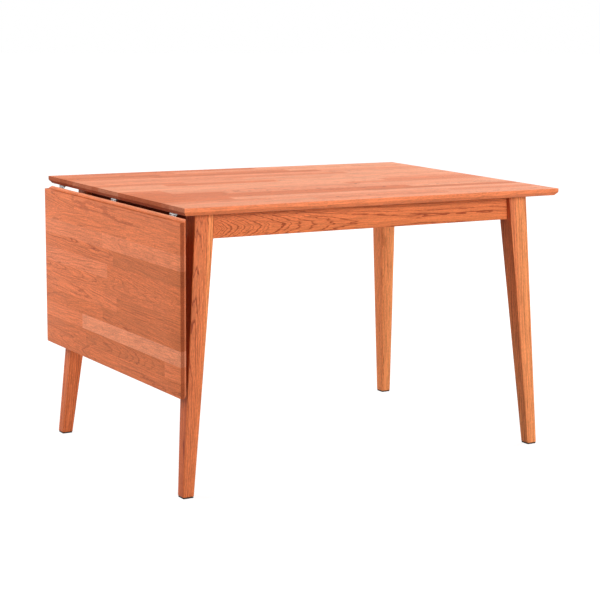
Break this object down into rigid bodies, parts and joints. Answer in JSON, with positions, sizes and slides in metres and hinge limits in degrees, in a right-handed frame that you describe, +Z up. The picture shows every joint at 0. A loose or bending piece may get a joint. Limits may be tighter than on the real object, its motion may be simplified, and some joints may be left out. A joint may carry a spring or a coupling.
{
  "type": "drop-leaf dining table",
  "caption": "Oak dining table with a hinged drop leaf hanging at one end, splayed tapered legs and folding flap stays that carry the raised leaf.",
  "frame": {"origin": "on the floor, under the middle of the outline with the leaf hanging", "axes": "+X along the table, away from the leaf; +Y towards the far long side; +Z up"},
  "size_m": [1.2119, 0.81, 0.747],
  "materials": {
    "oak_panel": "oiled, satin",
    "oak_frame": "oiled, satin",
    "steel": "bright zinc",
    "glide": "matt"
  },
  "bodies": {
    "frame": {"table_top": "oak_panel", "apron_front": "oak_frame", "apron_back": "oak_frame", "apron_left": "oak_frame", "apron_right": "oak_frame", "leg_front_left": "oak_frame", "leg_front_right": "oak_frame", "leg_back_left": "oak_frame", "leg_back_right": "oak_frame", "glide_front_left": "glide", "glide_front_right": "glide", "glide_back_left": "glide", "glide_back_right": "glide", "corner_block_front_left": "oak_frame", "corner_block_front_right": "oak_frame", "corner_block_back_left": "oak_frame", "corner_block_back_right": "oak_frame", "hanger_bolt_front_left": "steel", "hanger_bolt_front_right": "steel", "hanger_bolt_back_left": "steel", "hanger_bolt_back_right": "steel", "washer_front_left": "steel", "washer_front_right": "steel", "washer_back_left": "steel", "washer_back_right": "steel", "nut_front_left": "steel", "nut_front_right": "steel", "nut_back_left": "steel", "nut_back_right": "steel", "hinge_1_top_plate": "steel", "hinge_1_pin": "steel", "hinge_2_top_plate": "steel", "hinge_2_pin": "steel", "hinge_3_top_plate": "steel", "hinge_3_pin": "steel", "stay_front_bracket": "steel", "stay_front_rivet": "steel", "stay_back_bracket": "steel", "stay_back_rivet": "steel", "top_angle_front_left": "steel", "top_angle_front_right": "steel", "top_angle_back_left": "steel", "top_angle_back_right": "steel", "top_angle_left": "steel", "top_angle_right": "steel"},
    "leaf": {"drop_leaf": "oak_panel", "hinge_1_leaf_plate": "steel", "hinge_2_leaf_plate": "steel", "hinge_3_leaf_plate": "steel", "stay_front_catch": "steel", "stay_back_catch": "steel"},
    "stay_front": {"stay_front_arm": "steel"},
    "stay_back": {"stay_back_arm": "steel"}
  },
  "joints": [
    {"name": "leaf_hinge", "type": "hinge", "parent": "frame", "child": "leaf", "pos_m": [-0.5832, 0, 0.7241], "axis": [0, 1, 0], "range_deg": [0, 90.8]},
    {"name": "stay_front_pivot", "type": "hinge", "parent": "frame", "child": "stay_front", "pos_m": [-0.53792, -0.2, 0.67944], "axis": [0, 1, 0], "range_deg": [0, 90.8]},
    {"name": "stay_back_pivot", "type": "hinge", "parent": "frame", "child": "stay_back", "pos_m": [-0.53792, 0.2, 0.67944], "axis": [0, 1, 0], "range_deg": [0, 90.8]}
  ],
  "couplings": [
    {"joint": "stay_front_pivot", "follows": "leaf_hinge", "ratio": 1},
    {"joint": "stay_back_pivot", "follows": "leaf_hinge", "ratio": 1}
  ]
}
